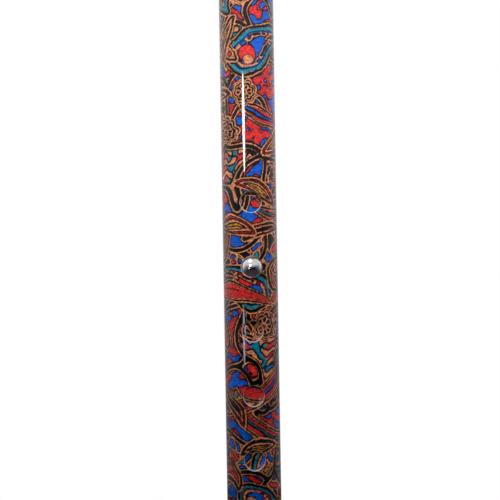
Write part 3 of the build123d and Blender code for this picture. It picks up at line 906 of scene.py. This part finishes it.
shaft_print = printed_aluminium()
bare_aluminium = worked_metal("bare_aluminium", (0.731, 0.731, 0.7395), 0.34, 900)
button_chrome = worked_metal("button_chrome", (0.72, 0.72, 0.73), 0.17, 700, depth=0.000006)
collar_chrome = worked_metal("collar_chrome", (0.8, 0.8, 0.81), 0.1, 500, (1, 1, 3), 0.000008)
spring_steel = worked_metal("spring_steel", (0.42, 0.44, 0.48), 0.32, 700, (1, 1, 0.1))
zinc_steel = worked_metal("zinc_steel", (0.62, 0.63, 0.62), 0.38, 300)
insert_brass = worked_metal("insert_brass", (0.72, 0.5, 0.22), 0.3, 500, (1, 1, 0.2))
nylon = moulded("nylon", ink(216, 213, 205), 0.42)
plug_plastic = moulded("plug_plastic", ink(46, 46, 48), 0.5)
collet_plastic = moulded("collet_plastic", ink(40, 41, 44), 0.42)
ring_plastic = moulded("ring_plastic", ink(30, 31, 34), 0.4, 1800, 0.00004)
tip_rubber = moulded("tip_rubber", ink(38, 38, 38), 0.72, 1300, 0.00008, 0.7)
handle_wood = lacquered_wood()

PART_FINISHES = {
    "glide_plug": nylon, "button_spring": spring_steel, "end_plug": nylon,
    "tip_washer": zinc_steel, "rubber_tip": tip_rubber, "collet": collet_plastic,
    "tube_plug": plug_plastic, "plug_screws": zinc_steel, "handle_stud": zinc_steel,
    "thread_insert": insert_brass, "collar": collar_chrome, "lock_ring": ring_plastic,
}
for part, part_finish in PART_FINISHES.items():
    part_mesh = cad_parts[part].data
    part_mesh.materials.clear()
    part_mesh.materials.append(part_finish)


# --------------------------------------
# The pieces

SPRING_THICKNESS = 0.8
RIVET_RADIUS, RIVET_HEAD_RADIUS, RIVET_EDGE = 2.0, 3.2, 0.25
HANDLE_VOXEL = 0.0009  # this line and the next are in metres
SEAM_START, SEAM_REACH = 0.001, 0.004  # above the collar: where the easing starts, and its run-in
SEAM_ROUNDS = 40
HANDLE_SHARP_ANGLE = math.radians(40)


def snap_button():
    """A half ball on a round stem, with the rivet and its flattened head behind the spring."""
    tip, tail = button_low[1], button_high[1]
    radius = (button_high[0] - button_low[0]) / 2
    front = extent("button_spring")[0][1] - tip
    back, end = front + SPRING_THICKNESS, tail - tip
    profile = [(radius * (1 - math.cos(t)), radius * math.sin(t))
               for t in np.linspace(0, pi / 2, 33)]
    profile += [(front, radius), (front, RIVET_RADIUS), (back, RIVET_RADIUS),
                (back, RIVET_HEAD_RADIUS), (end - RIVET_EDGE, RIVET_HEAD_RADIUS),
                (end, RIVET_HEAD_RADIUS - RIVET_EDGE), (end, 0)]
    piece = revolved("snap_button_dome", profile, (0, tip, button_height), (0, 1, 0), 96,
                     (button_chrome,))
    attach(piece, "button")
    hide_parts("snap_button")


def settle(piece):
    """Puts what the modifiers make into the mesh and clears them."""
    depsgraph = bpy.context.evaluated_depsgraph_get()
    made = bpy.data.meshes.new_from_object(piece.evaluated_get(depsgraph))
    piece.modifiers.clear()
    piece.data = made


def handle():
    """The CAD node's own handle, evenly meshed, with the seam of grip and neck eased."""
    shape = bmesh.new()
    shape.from_mesh(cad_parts["handle"].data)
    bmesh.ops.remove_doubles(shape, verts=shape.verts, dist=1e-6)
    mesh = bpy.data.meshes.new("handle_grip")
    shape.to_mesh(mesh)
    shape.free()
    piece = bpy.data.objects.new("handle_grip", mesh)
    bpy.context.scene.collection.objects.link(piece)
    remesh = piece.modifiers.new("even", "REMESH")
    remesh.mode, remesh.voxel_size = "VOXEL", HANDLE_VOXEL
    settle(piece)
    place = np.empty(3 * len(piece.data.vertices))
    piece.data.vertices.foreach_get("co", place)
    above = place[2::3] - extent("collar")[1][2] / MM
    weights = np.round(np.clip((above - SEAM_START) / SEAM_REACH, 0, 1), 1)
    group = piece.vertex_groups.new(name="eased")
    for weight in np.unique(weights):
        group.add(np.flatnonzero(weights == weight).tolist(), float(weight), "REPLACE")
    ease = piece.modifiers.new("ease", "SMOOTH")
    ease.factor, ease.iterations, ease.vertex_group = 0.5, SEAM_ROUNDS, "eased"
    settle(piece)
    piece.vertex_groups.clear()
    piece.data.materials.clear()
    piece.data.materials.append(handle_wood)
    piece.data.shade_smooth()
    piece.data.set_sharp_from_angle(angle=HANDLE_SHARP_ANGLE)
    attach(piece, "upper_shaft")
    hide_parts("handle")


front_holes = [(n * ROWS_PER_HOLE, 0, button_height + n * HOLE_PITCH, HOLE_RADIUS) for n in HOLES]
screw_step = coarse_step((screw_height - button_height) / ROW)
screw_holes = [(screw_step, quarters * UPPER_COLUMNS // 4, screw_height, SCREW_HOLE_RADIUS)
               for quarters in (1, 3)]
printed_tube("upper_tube", "upper_shaft", UPPER_COLUMNS, bands=4,
             holes=front_holes + screw_holes, seed=27)
printed_tube("lower_tube", "lower_shaft", LOWER_COLUMNS, bands=2,
             holes=[(0, 0, button_height, BUTTON_HOLE_RADIUS)], seed=23)
snap_button()
handle()


# --------------------------------------
# Floor, light and camera

WORLD_SIDES, WORLD_ABOVE = 0.5, 0.8  # the light that gloss sees there, where 1 is white
WORLD_BELOW, WORLD_FILL = 0.18, 0.08  # shares of it: low down, and for diffuse surfaces
FLOOR_DROP = 0.1  # how far the floor lies under the tip's sole, in millimetres
FLOOR_LIFT = 0.75  # light that the camera alone sees on the floor


def floor():
    """A disc whose colour fades to the white around it and that keeps the cane's shadow. It throws
    little light back at the cane."""
    radius, around, rings = 600, 96, 24
    reach = np.linspace(0, radius, rings + 1)[1:, None]
    turn = 2 * pi * np.arange(around) / around
    ring_points = np.stack((reach * np.cos(turn), reach * np.sin(turn),
                            np.full((rings, around), -FLOOR_DROP)), -1)
    points = np.concatenate(([(0, 0, -FLOOR_DROP)], ring_points.reshape(-1, 3)))
    numbers = 1 + np.arange(rings * around).reshape(rings, around)
    heart = np.stack((np.zeros(around, int), numbers[0], np.roll(numbers[0], -1)), 1)
    faces = [heart] + [strip(b, a) for a, b in zip(numbers, numbers[1:])]
    made, tree, shader = finish("floor", Roughness=0.9, Specular_IOR_Level=0.0,
                                Base_Color=(0.85, 0.85, 0.85, 1))
    place = node(tree, "ShaderNodeTexCoord").outputs["Object"]
    far = node(tree, "ShaderNodeVectorMath", {0: place}, operation="LENGTH").outputs["Value"]
    camera_ray = node(tree, "ShaderNodeLightPath").outputs["Is Camera Ray"]
    white, lift = (node(tree, "ShaderNodeEmission", {"Color": WHITE, "Strength": strength})
                   for strength in (1.0, FLOOR_LIFT))
    lifted = node(tree, "ShaderNodeAddShader", {0: shader.outputs[0], 1: lift.outputs[0]})
    shown = mixed(tree, ramp(tree, far, 0.2, 0.58), lifted.outputs[0], white.outputs[0])
    dim = node(tree, "ShaderNodeBsdfDiffuse", {"Color": (0.12, 0.12, 0.12, 1)}).outputs[0]
    tree.links.new(mixed(tree, camera_ray, dim, shown),
                   tree.nodes["Material Output"].inputs["Surface"])
    mesh_object("floor", points, faces, (made,))


def studio():
    """White to the camera. Gloss sees it bright behind, dimmer at the sides and above, and dark in
    front and below, and diffuse surfaces get a share of that as a soft fill."""
    world = bpy.data.worlds.new("studio")
    bpy.context.scene.world = world
    world.use_nodes = True
    tree = world.node_tree
    way = node(tree, "ShaderNodeTexCoord").outputs["Generated"]
    way = node(tree, "ShaderNodeSeparateXYZ", {0: way}).outputs
    around = ramp(tree, way["Y"], -0.95, 0.0, 0.0, WORLD_SIDES)
    behind = ramp(tree, way["Y"], -0.1, 0.4, 0.0, 1.0 - WORLD_SIDES)
    height = ramp(tree, way["Z"], -0.5, 0.3, WORLD_BELOW, 1.0)
    above = ramp(tree, way["Z"], -0.2, 0.55, 0.0, WORLD_ABOVE)
    rays = node(tree, "ShaderNodeLightPath").outputs
    share = ramp(tree, rays["Is Glossy Ray"], 0.0, 1.0, WORLD_FILL, 1.0)
    level = combined(tree, "MULTIPLY", combined(tree, "ADD", around, behind), height)
    level = combined(tree, "MULTIPLY", combined(tree, "MAXIMUM", level, above), share)
    unseen, seen = (node(tree, "ShaderNodeBackground", {"Color": WHITE, "Strength": strength})
                    for strength in (level, 1.0))
    tree.links.new(mixed(tree, rays["Is Camera Ray"], unseen.outputs[0], seen.outputs[0]),
                   tree.nodes["World Output"].inputs["Surface"])


def lamp(name, place, aim, width, height, radiance, colour=(1, 1, 1), shape="RECTANGLE",
         glossy=True, diffuse=True, spread=180):
    """A flat lamp of even radiance that faces its aim, for gloss, diffuse light or both."""
    light = bpy.data.lights.new(name, "AREA")
    light.shape, light.size, light.size_y = shape, width, height
    area = width * height * (pi / 4 if shape == "ELLIPSE" else 1)
    light.energy = radiance * pi * area
    light.color, light.spread = colour, math.radians(spread)
    holder = bpy.data.objects.new(name, light)
    holder.location = place
    holder.rotation_euler = (Vector(aim) - Vector(place)).to_track_quat("-Z", "Y").to_euler()
    holder.visible_camera = False
    holder.visible_glossy, holder.visible_diffuse = glossy, diffuse
    bpy.context.scene.collection.objects.link(holder)


floor()
studio()
level = button_height / MM
lamp("window", (-0.215, -0.56, level + 0.17), (0, 0, level + 0.06), 0.1, 0.134, 32,
     shape="ELLIPSE", diffuse=False)
lamp("card", (-0.335, -0.497, level - 0.118), (0, 0, level - 0.02), 0.1, 0.08, 8,
     (0.7, 0.72, 1.0), shape="ELLIPSE", diffuse=False)
lamp("ceiling", (-0.3, -0.2, level + 1.0), (0, 0, level), 0.6, 0.5, 3, diffuse=False)
lamp("key", (-0.03, -0.45, level + 0.42), (0, 0, level + 0.165), 0.3, 0.3, 1.62, glossy=False,
     spread=41)
for side in (-1, 1):
    lamp("side", (0.45 * side, 0.0, 0.78), (0, 0, 0.7), 0.3, 0.3, 4.0, glossy=False)
lamp("back", (0.1, 1.0, 0.7), (0, 0, 0.45), 0.5, 0.9, 3.0, glossy=False)

scene = bpy.context.scene
camera_data = bpy.data.cameras.new("camera")
camera_data.lens, camera_data.sensor_width = 44.2, 36
camera = bpy.data.objects.new("camera", camera_data)
scene.collection.objects.link(camera)
camera.location = (-0.0123, -0.2507, level + 0.0101)
aim = Vector((-0.00006, 0, level + 0.0064)) - camera.location
camera.rotation_euler = (aim.to_track_quat("-Z", "Y").to_matrix()
                         @ Matrix.Rotation(math.radians(-0.97), 3, "Z")).to_euler()
scene.camera = camera
scene.view_settings.view_transform = "Standard"
